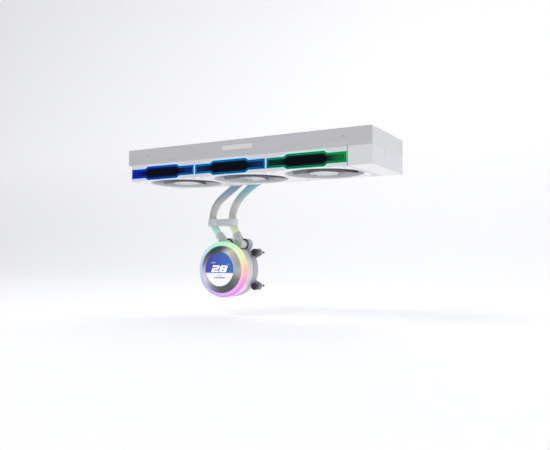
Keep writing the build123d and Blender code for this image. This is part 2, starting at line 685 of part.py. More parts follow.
with BuildPart() as mounting_bracket:
    with BuildSketch(across(BASE_BACK + BRACKET_SHEET)):
        Circle(NECK_RADIUS + 7.0)
        with GridLocations(BRACKET_X, BRACKET_Z, 2, 2):
            Circle(6.2)
        reach = math.hypot(BRACKET_X, BRACKET_Z)
        slope = math.degrees(math.atan2(BRACKET_Z, BRACKET_X))
        for turn in (slope, -slope):
            Rectangle(reach, 11.0, rotation=turn)
        Circle(NECK_RADIUS + 0.1, mode=Mode.SUBTRACT)
        with GridLocations(BRACKET_X, BRACKET_Z, 2, 2):
            Circle(BRACKET_SHANK + 0.3, mode=Mode.SUBTRACT)
    extrude(amount=BRACKET_SHEET)
write(mounting_bracket, "mounting_bracket")

with BuildPart() as bracket_springs:
    with BuildSketch(across(BASE_BACK)):
        with GridLocations(BRACKET_X, BRACKET_Z, 2, 2):
            Circle(4.0)
            Circle(BRACKET_SHANK + 0.6, mode=Mode.SUBTRACT)
    extrude(amount=BASE_BACK - SPRING_FRONT)
write(bracket_springs, "bracket_springs")

with BuildPart() as bracket_screws:
    with BuildSketch(across(STUD_END)):
        with GridLocations(BRACKET_X, BRACKET_Z, 2, 2):
            Circle(BRACKET_STUD)
    extrude(amount=STUD_END - SHANK_END)
    with BuildSketch(across(SHANK_END)):
        with GridLocations(BRACKET_X, BRACKET_Z, 2, 2):
            Circle(BRACKET_SHANK)
    extrude(amount=SHANK_END - SPRING_FRONT)
    with BuildSketch(across(SPRING_FRONT)):
        with GridLocations(BRACKET_X, BRACKET_Z, 2, 2):
            Circle(THUMB_RADIUS)
    extrude(amount=7.0)
    chamfer(bracket_screws.faces().sort_by(Axis.Y)[:4].edges(), length=0.8)
    with BuildSketch(across(SPRING_FRONT - 7.0)):
        with GridLocations(BRACKET_X, BRACKET_Z, 2, 2):
            Rectangle(7.0, 1.4)
            Rectangle(1.4, 7.0)
    extrude(amount=-1.6, mode=Mode.SUBTRACT)
write(bracket_screws, "bracket_screws")

with BuildPart() as plate_gasket:
    with BuildSketch(across(NECK_BACK + 0.8)):
        RectangleRounded(46.0, 46.0, 6.0)
        RectangleRounded(40.0, 40.0, 4.0, mode=Mode.SUBTRACT)
    extrude(amount=0.8)
write(plate_gasket, "plate_gasket")

with BuildPart() as cold_plate:
    with BuildSketch(across(PLATE_BACK)):
        RectangleRounded(PLATE_SIZE, PLATE_SIZE, 6.0)
    extrude(amount=PLATE_BACK - NECK_BACK - 0.8)
    with BuildSketch(across(NECK_BACK + 0.8)):
        with GridLocations(1.2, 1, 18, 1):
            Rectangle(0.6, 23.0)
    extrude(amount=2.0)
    with Locations(*[
        across(PLATE_BACK, PUMP_X + sx * 25.0, PUMP_Z + sz * 25.0) for sx in (-1, 1) for sz in (-1, 1)
    ]):
        Hole(radius=1.3, depth=PLATE_BACK - NECK_BACK)
write(cold_plate, "cold_plate")


# ---------------------------------------------------------------- hose fittings
def pump_elbow(port_x, port_z, turn):
    """Swivel elbow: a capped barrel on the port, with its leg set off towards the hose."""
    angle = math.radians(turn)
    out = (math.cos(angle), 0, math.sin(angle))
    with BuildPart() as elbow:
        with BuildSketch(across(BASE_FRONT - 0.3, port_x, port_z)):
            Circle(BARREL_RADIUS)
        extrude(amount=BASE_FRONT - 0.3 - ELBOW_FRONT)
        fillet(elbow.faces().sort_by(Axis.Y)[0].edges(), radius=0.8)
        with BuildSketch(Plane(origin=(port_x, ELBOW_LEG_Y, port_z), z_dir=out)):
            Circle(LEG_RADIUS)
        extrude(amount=HOSE_START_REACH - COLLAR_LENGTH + 2.0)
        with BuildSketch(across(BASE_FRONT + 6.0, port_x, port_z)):
            Circle(PORT_BORE - 0.08)
        extrude(amount=7.0)
    return elbow


def pump_collar(port_x, port_z, turn):
    """Crimped collar between the elbow's leg and the hose."""
    angle = math.radians(turn)
    out = Vector(math.cos(angle), 0, math.sin(angle))
    start = Vector(port_x, ELBOW_LEG_Y, port_z) + out * (HOSE_START_REACH - COLLAR_LENGTH)
    with BuildPart() as collar:
        with BuildSketch(Plane(origin=start, z_dir=out)):
            Circle(COLLAR_RADIUS)
        extrude(amount=COLLAR_LENGTH)
        fillet(collar.edges().filter_by(GeomType.CIRCLE), radius=0.7)
        with BuildSketch(Plane(origin=start, z_dir=out)):
            Circle(LEG_RADIUS)
        extrude(amount=2.0, mode=Mode.SUBTRACT)
    return collar


for port_name, (port_x, port_z), turn in zip(("left", "right"), PUMP_PORTS, ELBOW_TURNS):
    write(pump_elbow(port_x, port_z, turn), f"{port_name}_elbow")
    write(pump_collar(port_x, port_z, turn), f"{port_name}_collar")

with BuildPart() as radiator_elbows:
    for port_z, stub in zip(PORT_HEIGHTS, (TANK_WIDTH / 2, MANIFOLD_REAR)):
        with BuildSketch(Plane(origin=(PORT_X, stub, port_z), z_dir=(0, 1, 0))):
            Circle(BARREL_RADIUS - 1.2)
        extrude(amount=REAR - stub)
        with BuildSketch(Plane(origin=(PORT_X, REAR, port_z), z_dir=(0, 1, 0))):
            Circle(BARREL_RADIUS)
        extrude(amount=RADIATOR_HOSE_Y + BARREL_RADIUS - REAR)
        with BuildSketch(Plane(origin=(PORT_X, RADIATOR_HOSE_Y, port_z), z_dir=(-1, 0, 0))):
            Circle(LEG_RADIUS)
        extrude(amount=PORT_X - RADIATOR_HOSE_X - COLLAR_LENGTH)
    fillet(radiator_elbows.faces().sort_by(Axis.Y)[-2:].edges(), radius=0.8)
write(radiator_elbows, "radiator_elbows")

with BuildPart() as radiator_collars:
    for port_z in PORT_HEIGHTS:
        with BuildSketch(Plane(origin=(RADIATOR_HOSE_X, RADIATOR_HOSE_Y, port_z), z_dir=(1, 0, 0))):
            Circle(COLLAR_RADIUS)
        extrude(amount=COLLAR_LENGTH)
    fillet(radiator_collars.edges().filter_by(GeomType.CIRCLE), radius=0.7)
write(radiator_collars, "radiator_collars")


# ---------------------------------------------------------------- hoses
def corner_radii(route):
    """Arc radius at each inner point of a route, and the length of the finished path."""
    points = [Vector(*point) for point in route]
    runs = [b - a for a, b in zip(points, points[1:])]
    radii = []
    length = sum(run.length for run in runs)
    for before, after in zip(runs, runs[1:]):
        half_turn = math.radians(before.get_angle(after)) / 2
        cut = 0.45 * min(before.length, after.length)
        radius = cut / math.tan(half_turn)
        radii.append(radius)
        length += 2 * (half_turn * radius - cut)
    return radii, length


def hose(route, name):
    """Round hose of straight runs joined by tangent arcs."""
    radii, length = corner_radii(route)
    start = Vector(*route[0])
    with BuildPart() as tube:
        with BuildLine() as path:
            FilletPolyline(*route, radius=radii)
        with BuildSketch(Plane(origin=start, z_dir=Vector(*route[1]) - start)):
            Circle(HOSE_DIAMETER / 2)
        sweep(path=path.line)
    section = math.pi * HOSE_DIAMETER**2 / 4
    print(name, "radii", [round(radius) for radius in radii], "length", round(length, 1))
    print(name, "volume", round(tube.part.volume), "section x length", round(section * length))
    return tube


for hose_name, route in (("left_hose", LEFT_ROUTE), ("right_hose", RIGHT_ROUTE)):
    write(hose(route, hose_name), hose_name)

# clip that keeps the two hoses a set distance apart
clip_spots = []
clip_normal = Vector(0, 0, 0)
for route, share in zip((LEFT_ROUTE, RIGHT_ROUTE), COMB_SHARES):
    run_start, run_end = Vector(*route[1]), Vector(*route[2])
    clip_spots.append(run_start + (run_end - run_start) * share)
    clip_normal += (run_end - run_start).normalized()
clip_along = clip_spots[1] - clip_spots[0]
clip_plane = Plane(
    origin=(clip_spots[0] + clip_spots[1]) * 0.5,
    x_dir=clip_along,
    z_dir=clip_along.cross(clip_normal.cross(clip_along)),
)
with BuildPart() as hose_comb:
    with BuildSketch(clip_plane.offset(-COMB_HEIGHT / 2)):
        Rectangle(clip_along.length, COMB_DEPTH - 5.0)
        with GridLocations(clip_along.length, 1, 2, 1):
            Circle(COMB_RING)
            Circle(COMB_BORE, mode=Mode.SUBTRACT)
    extrude(amount=COMB_HEIGHT)
write(hose_comb, "hose_comb")
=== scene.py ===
"""Looks for a closed-loop liquid cooler: materials, sleeved hoses, folded fins, lit windows and display.

Metres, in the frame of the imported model: +X along the radiator towards the end block,
-Y towards the mirrored front, +Z up.
"""
import json
import math

import bpy
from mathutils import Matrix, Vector


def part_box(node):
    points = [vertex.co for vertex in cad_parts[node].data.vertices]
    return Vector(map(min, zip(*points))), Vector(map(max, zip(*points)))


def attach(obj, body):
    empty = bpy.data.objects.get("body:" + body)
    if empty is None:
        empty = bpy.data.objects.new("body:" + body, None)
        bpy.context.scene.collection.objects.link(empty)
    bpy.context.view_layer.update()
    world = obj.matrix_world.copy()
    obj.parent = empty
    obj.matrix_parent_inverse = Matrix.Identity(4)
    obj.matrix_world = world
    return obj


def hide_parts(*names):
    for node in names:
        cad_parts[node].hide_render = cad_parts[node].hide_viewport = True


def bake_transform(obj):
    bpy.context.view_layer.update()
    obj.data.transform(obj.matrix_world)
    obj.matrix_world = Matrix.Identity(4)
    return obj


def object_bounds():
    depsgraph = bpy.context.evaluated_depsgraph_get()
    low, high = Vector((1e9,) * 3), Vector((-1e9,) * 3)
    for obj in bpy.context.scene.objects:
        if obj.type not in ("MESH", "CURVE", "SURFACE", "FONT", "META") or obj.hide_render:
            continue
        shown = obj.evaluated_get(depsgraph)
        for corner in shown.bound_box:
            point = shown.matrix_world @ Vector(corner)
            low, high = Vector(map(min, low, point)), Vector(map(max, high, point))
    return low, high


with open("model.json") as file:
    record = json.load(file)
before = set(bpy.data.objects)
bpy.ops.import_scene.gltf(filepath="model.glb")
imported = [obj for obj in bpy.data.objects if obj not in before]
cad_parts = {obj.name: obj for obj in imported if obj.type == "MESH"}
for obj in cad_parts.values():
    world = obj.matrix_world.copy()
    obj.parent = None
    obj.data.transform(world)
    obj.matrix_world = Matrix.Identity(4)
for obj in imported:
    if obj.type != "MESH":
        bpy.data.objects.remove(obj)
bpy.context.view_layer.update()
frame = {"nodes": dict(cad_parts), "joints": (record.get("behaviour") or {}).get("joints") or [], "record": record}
MM = 0.001
SHARP_ANGLE = 40.0

# camera
CAMERA_PLACE = (0.4848, -0.7907, -0.1643)
CAMERA_TILT = 92.899
CAMERA_TURN = 29.337
CAMERA_LENS = 40.85

# hoses, the same routes as the CAD solids
HOSE_DIAMETER = 0.012
LEFT_ROUTE = [
    (-0.09586, 0.0562, -0.12818), (-0.1055, 0.0562, -0.11669), (-0.1104, 0.0578, -0.1025),
    (-0.1099, 0.0608, -0.0878), (-0.1036, 0.0646, -0.0738), (-0.0908, 0.0688, -0.0615),
    (-0.071, 0.0725, -0.0465), (-0.044, 0.0745, -0.0275), (-0.004, 0.0755, -0.0135),
    (0.044, 0.076, -0.0115), (0.092, 0.074, -0.0085), (0.138, 0.073, -0.01), (0.174, 0.073, -0.01),
]
RIGHT_ROUTE = [
    (-0.06239, 0.0562, -0.12684), (-0.0692, 0.0562, -0.11403), (-0.0719, 0.0578, -0.0993),
    (-0.0699, 0.061, -0.0846), (-0.0632, 0.065, -0.0704), (-0.0516, 0.0695, -0.0572),
    (-0.032, 0.0735, -0.0422), (0.0, 0.0755, -0.033), (0.04, 0.0765, -0.0315),
    (0.088, 0.0745, -0.0345), (0.136, 0.073, -0.032), (0.174, 0.073, -0.032),
]
BRAID_STRANDS = 16
BRAID_STEP = math.pi * HOSE_DIAMETER / BRAID_STRANDS
BRAID_RELIEF = 0.3 * MM
SLEEVE_SEGMENTS = 64
SLEEVE_STEP = 0.6 * MM

# radiator core
TUBE_PITCH = 9.6 * MM
TUBE_THICKNESS = 2.0 * MM
FIN_STRIPS = 9
FIN_FOLD = 2.4 * MM
FIN_SHEET = 0.14 * MM

# mirror windows, in millimetres from their fan's centre
WINDOW_HALF = 59.1
WINDOW_NARROW = 7.3
WINDOW_WIDE = 10.6
WINDOW_SHOULDER_OUT = 32.5
WINDOW_SHOULDER_IN = 27.5
SEAM_START = 59.3
FAN_CENTRES = (-0.12, 0.0, 0.12)
EDGE_COLOURS = (
    ((0.0, 0.07, 1.0), (0.0, 0.34, 1.0)),
    ((0.0, 0.48, 1.0), (0.0, 0.34, 0.88)),
    ((0.01, 0.62, 0.50), (0.01, 0.55, 0.14)),
)
FIELD_COLOURS = (
    ((0.002, 0.014, 0.36), (0.001, 0.020, 0.17)),
    ((0.001, 0.022, 0.13), (0.001, 0.028, 0.14)),
    ((0.0, 0.020, 0.020), (0.002, 0.20, 0.05)),
)

# stage
FLOOR_DROP = 0.03
FLOOR_HALF = 4.0

# figures on the display: where each one starts, and its outline and holes, in millimetres
FIGURE_TWO = [[
    (0.0, 10.4), (11.9, 10.4), (13.2, 9.1), (13.2, 5.3), (11.9, 4.1), (4.2, 4.1), (4.2, 2.3),
    (13.2, 2.3), (13.2, 0.0), (0.0, 0.0), (0.0, 5.1), (1.3, 6.3), (9.0, 6.3), (9.0, 8.1), (0.0, 8.1),
]]
FIGURE_EIGHT = [
    [
        (1.3, 0.0), (11.9, 0.0), (13.2, 1.3), (13.2, 4.2), (12.5, 5.2), (13.2, 6.2), (13.2, 9.1),
        (11.9, 10.4), (1.3, 10.4), (0.0, 9.1), (0.0, 6.2), (0.7, 5.2), (0.0, 4.2), (0.0, 1.3),
    ],
    [(4.2, 2.2), (4.2, 4.2), (9.0, 4.2), (9.0, 2.2)],
    [(4.2, 6.2), (4.2, 8.2), (9.0, 8.2), (9.0, 6.2)],
]
FIGURES = ((-15.9, FIGURE_TWO), (-1.0, FIGURE_EIGHT))
FIGURE_SLANT = 0.34
FIGURE_FOOT = -4.2
FIGURE_SHEET = 0.03
BAR_FRONT = 0.14
BAR_BACK = 0.02
SHADOW_LIFT = 0.10
FIGURE_LIFT = 0.18
WORD_BARS = ((-9.3, 2.6), (-6.4, 2.2), (-3.6, 2.4), (-0.6, 2.6), (2.6, 2.8), (5.7, 2.4), (8.7, 2.6))

PUMP_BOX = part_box("display_panel")
PUMP_CENTRE = (PUMP_BOX[0] + PUMP_BOX[1]) / 2
DISPLAY_FRONT = PUMP_BOX[0].y
WINDOW_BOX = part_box("fan_2_mirror_windows")
WINDOW_HEIGHT = (WINDOW_BOX[0].z + WINDOW_BOX[1].z) / 2


# ---------------------------------------------------------------- camera
def make_camera():
    """The camera at the reference view."""
    data = bpy.data.cameras.new("camera")
    data.lens = CAMERA_LENS
    data.sensor_width = 36.0
    data.clip_start = 0.01
    camera = bpy.data.objects.new("camera", data)
    camera.location = CAMERA_PLACE
    camera.rotation_euler = (math.radians(CAMERA_TILT), 0.0, math.radians(CAMERA_TURN))
    bpy.context.scene.collection.objects.link(camera)
    bpy.context.scene.camera = camera


# ---------------------------------------------------------------- mesh helpers
def mesh_object(name, vertices, faces, smooth=True):
    """A new object from vertices and faces."""
    mesh = bpy.data.meshes.new(name)
    mesh.from_pydata([tuple(vertex) for vertex in vertices], [], faces)
    mesh.update()
    if smooth:
        mesh.shade_smooth()
        mesh.set_sharp_from_angle(angle=math.radians(SHARP_ANGLE))
    piece = bpy.data.objects.new(name, mesh)
    bpy.context.scene.collection.objects.link(piece)
    return piece


def joined(name, meshes, smooth=True):
    """One object from several (vertices, faces) pairs."""
    vertices, faces = [], []
    for more_vertices, more_faces in meshes:
        offset = len(vertices)
        vertices += more_vertices
        faces += [tuple(index + offset for index in face) for face in more_faces]
    return mesh_object(name, vertices, faces, smooth)


def ring_faces(rings, segments):
    """Quads between consecutive rings of a tube, with a cap at each end."""
    faces = []
    for ring in range(rings - 1):
        for segment in range(segments):
            here = ring * segments + segment
            after = ring * segments + (segment + 1) % segments
            faces.append((here, after, after + segments, here + segments))
    faces.append(tuple(reversed(range(segments))))
    faces.append(tuple(range((rings - 1) * segments, rings * segments)))
    return faces


def turned(profile, centre, segments=96):
    """Solid of revolution about the Y direction through centre, from a closed (radius, Y) outline."""
    vertices, faces = [], []
    count = len(profile)
    for segment in range(segments):
        angle = 2 * math.pi * segment / segments
        for radius, depth in profile:
            vertices.append(Vector((
                centre.x + radius * math.cos(angle), depth, centre.z + radius * math.sin(angle)
            )))
    for segment in range(segments):
        following = (segment + 1) % segments
        for corner in range(count):
            next_corner = (corner + 1) % count
            faces.append((
                segment * count + corner, segment * count + next_corner,
                following * count + next_corner, following * count + corner,
            ))
    return vertices, faces


def along_path(path, radius_at, segments):
    """Vertices of a tube round a path; radius_at(turn, length) gives its radius."""
    tangents = []
    for index in range(len(path)):
        before = path[max(index - 1, 0)]
        after = path[min(index + 1, len(path) - 1)]
        tangents.append((after - before).normalized())
    side = tangents[0].orthogonal().normalized()
    vertices = []
    length = 0.0
    for index, (place, tangent) in enumerate(zip(path, tangents)):
        if index:
            length += (place - path[index - 1]).length
        side = (side - tangent * side.dot(tangent)).normalized()
        up = tangent.cross(side)
        for segment in range(segments):
            turn = segment / segments
            angle = 2 * math.pi * turn
            out = side * math.cos(angle) + up * math.sin(angle)
            vertices.append(place + out * radius_at(turn, length))
    return vertices


def evenly(path, step):
    """Points about one step apart along a path, its two ends among them."""
    reach = [0.0]
    for before, after in zip(path, path[1:]):
        reach.append(reach[-1] + (after - before).length)
    count = max(2, round(reach[-1] / step))
    points, index = [], 0
    for number in range(count + 1):
        target = reach[-1] * number / count
        while index < len(path) - 2 and reach[index + 1] < target:
            index += 1
        share = (target - reach[index]) / (reach[index + 1] - reach[index])
        points.append(path[index].lerp(path[index + 1], share))
    return points


# ---------------------------------------------------------------- hoses
def nurbs_path(name, route):
    """Points of the smooth line that a route's points control."""
    curve = bpy.data.curves.new(name, "CURVE")
    curve.dimensions = "3D"
    curve.resolution_u = 24
    spline = curve.splines.new("NURBS")
    spline.points.add(len(route) - 1)
    for point, place in zip(spline.points, route):
        point.co = (*place, 1.0)
    spline.order_u = 3
    spline.use_endpoint_u = True
    carrier = bpy.data.objects.new(name, curve)
    bpy.context.scene.collection.objects.link(carrier)
    line = bpy.data.meshes.new_from_object(carrier)
    path = [vertex.co.copy() for vertex in line.vertices]
    bpy.data.objects.remove(carrier)
    bpy.data.curves.remove(curve)
    bpy.data.meshes.remove(line)
    return path


def braid_height(turn, length):
    """Height, 0 to 1, of a two-way braid at a share of a turn and a length along the hose."""
    rightward = turn * BRAID_STRANDS + length / BRAID_STEP
    leftward = turn * BRAID_STRANDS - length / BRAID_STEP
    over = (math.floor(rightward) + math.floor(leftward)) % 2 == 0
    across = (rightward if over else leftward) % 1.0
    return math.sqrt(max(0.0, 1.0 - (2.0 * across - 1.0) ** 2))


def make_hose(side, route):
    """Braided sleeve along a route."""
    name = f"{side}_hose"
    path = evenly(nurbs_path(name + "_route", route), SLEEVE_STEP)
    core = HOSE_DIAMETER / 2 - BRAID_RELIEF

    def radius_at(turn, reach):
        return core + BRAID_RELIEF * braid_height(turn, reach)

    vertices = along_path(path, radius_at, SLEEVE_SEGMENTS)
    hose = mesh_object(f"{name}_sleeve", vertices, ring_faces(len(path), SLEEVE_SEGMENTS))
    relief = hose.data.attributes.new("relief", "FLOAT", "POINT")
    heights = []
    for index, vertex in enumerate(vertices):
        centre = path[index // SLEEVE_SEGMENTS]
        heights.append(((vertex - centre).length - core) / BRAID_RELIEF)
    relief.data.foreach_set("value", heights)
    hose.data.materials.append(LOOKS[f"{side}_sleeve"])
    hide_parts(name)
    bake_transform(hose)


# ---------------------------------------------------------------- materials
class Recipe:
    """A node material being made: its shader and short ways to add nodes to it."""

    def __init__(self, name, colour, roughness, metallic=0.0, **settings):
        self.material = bpy.data.materials.new(name)
        self.material.use_nodes = True
        self.tree = self.material.node_tree
        self.shader = self.tree.nodes["Principled BSDF"]
        self.shader.inputs["Base Color"].default_value = (*colour, 1.0)
        self.shader.inputs["Roughness"].default_value = roughness
        self.shader.inputs["Metallic"].default_value = metallic
        for socket, value in settings.items():
            self.shader.inputs[socket.replace("_", " ")].default_value = value

    def add(self, kind, **settings):
        """A new node with its settings."""
        node = self.tree.nodes.new("ShaderNode" + kind)
        for name, value in settings.items():
            setattr(node, name, value)
        return node

    def feed(self, socket, value):
        """Link an output to a socket, or set the socket to a plain value."""
        if isinstance(value, bpy.types.NodeSocket):
            self.tree.links.new(value, socket)
        else:
            socket.default_value = value

    def place(self, centre=(0.0, 0.0, 0.0), scale=(1.0, 1.0, 1.0)):
        """Coordinates on the object at rest, from a centre, stretched by a scale."""
        shift = self.add("VectorMath", operation="SUBTRACT")
        self.feed(shift.inputs[0], self.add("TexCoord").outputs["Object"])
        shift.inputs[1].default_value = centre
        stretch = self.add("VectorMath", operation="MULTIPLY")
        self.feed(stretch.inputs[0], shift.outputs[0])
        stretch.inputs[1].default_value = scale
        return stretch.outputs[0]

    def split(self, vector):
        """The X, Y and Z of a vector."""
        node = self.add("SeparateXYZ")
        self.feed(node.inputs[0], vector)
        return node.outputs

    def sum(self, operation, first, second=0.0):
        """One arithmetic step."""
        node = self.add("Math", operation=operation)
        self.feed(node.inputs[0], first)
        self.feed(node.inputs[1], second)
        return node.outputs[0]

    def spread(self, value, low, high, to_low, to_high):
        """Map a range of one value onto another, clamped."""
        node = self.add("MapRange")
        self.feed(node.inputs["Value"], value)
        node.inputs["From Min"].default_value = low
        node.inputs["From Max"].default_value = high
        node.inputs["To Min"].default_value = to_low
        node.inputs["To Max"].default_value = to_high
        return node.outputs["Result"]

    def noise(self, scale, stretch=(1.0, 1.0, 1.0), detail=3.0):
        """Noise over the object, finer with a larger scale."""
        node = self.add("TexNoise")
        self.feed(node.inputs["Vector"], self.place(scale=stretch))
        node.inputs["Scale"].default_value = scale
        node.inputs["Detail"].default_value = detail
        return node.outputs["Fac"]

    def blend(self, share, first, second):
        """Mix two colours."""
        node = self.add("Mix", data_type="RGBA")
        self.feed(node.inputs[0], share)
        for socket, colour in ((node.inputs[6], first), (node.inputs[7], second)):
            self.feed(socket, colour if isinstance(colour, bpy.types.NodeSocket) else (*colour, 1.0))
        return node.outputs[2]

    def ramp(self, share, stops):
        """Colours along a 0 to 1 share."""
        node = self.add("ValToRGB")
        self.feed(node.inputs[0], share)
        elements = node.color_ramp.elements
        while len(elements) < len(stops):
            elements.new(0.5)
        for element, (position, colour) in zip(elements, stops):
            element.position = position
            element.color = (*colour, 1.0)
        return node.outputs["Color"]

    def colour(self, share, low, high):
        """Base colour between two shades."""
        self.feed(self.shader.inputs["Base Color"], self.blend(share, low, high))

    def roughness(self, share, low, high):
        """Roughness between two values."""
        self.feed(self.shader.inputs["Roughness"], self.spread(share, 0.3, 0.7, low, high))

    def bump(self, height, depth, strength=1.0):
        """Fine relief, its depth in metres."""
        node = self.add("Bump")
        node.inputs["Strength"].default_value = strength
        node.inputs["Distance"].default_value = depth
        self.feed(node.inputs["Height"], height)
        self.feed(self.shader.inputs["Normal"], node.outputs[0])

    def glow(self, colour, strength=1.0):
        """Emission of a colour and strength."""
        self.feed(self.shader.inputs["Emission Color"], colour)
        self.feed(self.shader.inputs["Emission Strength"], strength)


def coat(name, low, high, roughness, grain=1800.0, depth=0.02 * MM, metallic=0.0, **settings):
    """Coated, moulded or cast surface with a fine grain and soft patches of shade."""
    recipe = Recipe(name, high, roughness, metallic, **settings)
    patches = recipe.noise(24.0)
    recipe.colour(patches, low, high)
    recipe.roughness(recipe.noise(90.0), roughness * 0.85, roughness * 1.15)
    recipe.bump(recipe.noise(grain), depth, 0.35)
    return recipe


def brushed(name, low, high, roughness, stretch, metallic=1.0):
    """Metal brushed along one direction, the one with the small stretch."""
    recipe = Recipe(name, high, roughness, metallic)
    lines = recipe.noise(1.0, stretch, 2.0)
    recipe.colour(lines, low, high)
    recipe.roughness(lines, roughness * 0.8, roughness * 1.2)
    recipe.bump(lines, 0.02 * MM, 0.4)
    return recipe


def spun(name, low, high, roughness, centre, axis, lines=2600.0, metallic=1.0):
    """Metal turned on a lathe: fine circles about an axis, and highlights that fan out from it."""
    recipe = Recipe(name, high, roughness, metallic)
    flat = tuple(0.0 if letter == axis else 1.0 for letter in "XYZ")
    reach = recipe.add("VectorMath", operation="LENGTH")
    recipe.feed(reach.inputs[0], recipe.place(centre, flat))
    rings = recipe.add("TexNoise", noise_dimensions="1D")
    recipe.feed(rings.inputs["W"], reach.outputs["Value"])
    rings.inputs["Scale"].default_value = lines
    recipe.colour(rings.outputs["Fac"], low, high)
    recipe.bump(rings.outputs["Fac"], 0.03 * MM, 0.4)
    tangent = recipe.add("Tangent", direction_type="RADIAL", axis=axis)
    recipe.feed(recipe.shader.inputs["Tangent"], tangent.outputs[0])
    recipe.shader.inputs["Anisotropic"].default_value = 0.8
    return recipe


def window_depth(recipe, centre_x):
    """Millimetres inside a mirror window's outline, less than 0 outside it, and height in it."""
    place = recipe.place((centre_x, 0.0, WINDOW_HEIGHT), (1000.0, 1000.0, 1000.0))
    x, y, z = recipe.split(place)
    x_out = recipe.sum("ABSOLUTE", x)
    z_out = recipe.sum("ABSOLUTE", z)
    narrow = recipe.sum(
        "MINIMUM",
        recipe.sum("SUBTRACT", WINDOW_HALF, x_out),
        recipe.sum("SUBTRACT", WINDOW_NARROW, z_out),
    )
    rise = WINDOW_WIDE - WINDOW_NARROW
    run = WINDOW_SHOULDER_OUT - WINDOW_SHOULDER_IN
    size = math.hypot(rise, run)
    slope_reach = (rise * WINDOW_SHOULDER_IN + run * WINDOW_WIDE) / size
    slope = recipe.sum(
        "SUBTRACT", slope_reach,
        recipe.sum(
            "ADD",
            recipe.sum("MULTIPLY", x_out, rise / size),
            recipe.sum("MULTIPLY", z_out, run / size),
        ),
    )
    wide = recipe.sum("MINIMUM", recipe.sum("SUBTRACT", WINDOW_WIDE, z_out), slope)
    return recipe.sum("MAXIMUM", narrow, wide), x, y, z


def along_fan(recipe, x, colours):
    """A colour that changes along a fan's length."""
    return recipe.blend(recipe.spread(x, -55.0, 55.0, 0.0, 1.0), *colours)


def window_look(number):
    """Tinted mirror with nested outlines of light round a dark middle."""
    recipe = Recipe(f"window_{number + 1}", (0.002, 0.003, 0.008), 0.08, Specular_IOR_Level=0.12)
    depth, x, _, z = window_depth(recipe, FAN_CENTRES[number])
    lines = recipe.ramp(
        recipe.spread(depth, 0.0, 8.0, 0.0, 1.0),
        [
            (0.0, (0.10, 0.10, 0.10)), (0.03, (1.0, 1.0, 1.0)), (0.11, (0.9, 0.9, 0.9)),
            (0.14, (0.06, 0.06, 0.06)), (0.25, (0.04, 0.04, 0.04)), (0.28, (0.42, 0.42, 0.42)),
            (0.37, (0.38, 0.38, 0.38)), (0.41, (0.0, 0.0, 0.0)),
        ],
    )
    fade = recipe.spread(depth, 0.8, 5.6, 0.8, 0.0)
    ends = recipe.spread(recipe.sum("ABSOLUTE", x), 30.0, 48.0, 0.0, 0.75)
    field = recipe.blend(
        recipe.sum("MAXIMUM", fade, ends), (0.0, 0.0, 0.0), along_fan(recipe, x, FIELD_COLOURS[number])
    )
    colour = recipe.blend(lines, field, along_fan(recipe, x, EDGE_COLOURS[number]))
    recipe.glow(colour, recipe.spread(z, -9.0, 9.0, 0.8, 1.15))
    recipe.roughness(recipe.noise(400.0), 0.06, 0.10)
    return recipe.material


def fan_shell_look(number):
    """Gloss white fan frame, with light leaking onto it round the mirror windows."""
    recipe = coat(f"fan_shell_{number + 1}", (0.80, 0.80, 0.83), (0.88, 0.88, 0.91), 0.3, 900.0)
    depth, x, y, _ = window_depth(recipe, FAN_CENTRES[number])
    if number == len(FAN_CENTRES) - 1:
        paint = recipe.shader.inputs["Base Color"].links[0].from_socket
        # painted shade: a near-black strip on the last fan's frame past its seam with the end block, for the shade
        # in the gap between them
        seam_gap_shade = recipe.spread(x, SEAM_START, SEAM_START + 0.1, 0.0, 1.0)
        recipe.feed(recipe.shader.inputs["Base Color"], recipe.blend(seam_gap_shade, paint, (0.03, 0.03, 0.04)))
    spill = recipe.spread(depth, -2.4, -0.1, 0.0, 1.0)
    spill = recipe.sum("POWER", spill, 2.2)
    outside = recipe.spread(recipe.sum("ABSOLUTE", y), 60.2, 60.9, 0.0, 1.0)
    middle = recipe.spread(recipe.sum("ABSOLUTE", x), 28.0, 44.0, 1.0, 0.15)
    strength = recipe.sum("MULTIPLY", recipe.sum("MULTIPLY", spill, outside), middle)
    pale = recipe.blend(0.4, along_fan(recipe, x, EDGE_COLOURS[number]), (0.2, 1.0, 1.0))
    recipe.glow(pale, recipe.sum("MULTIPLY", strength, 0.6))
    return recipe.material


def round_pump(recipe):
    """Angle round the pump's axis as a share of a turn, from the left by way of the bottom."""
    x, y, z = recipe.split(recipe.place(tuple(PUMP_CENTRE)))
    angle = recipe.sum("ARCTAN2", z, x)
    return recipe.spread(angle, -math.pi, math.pi, 0.0, 1.0), y


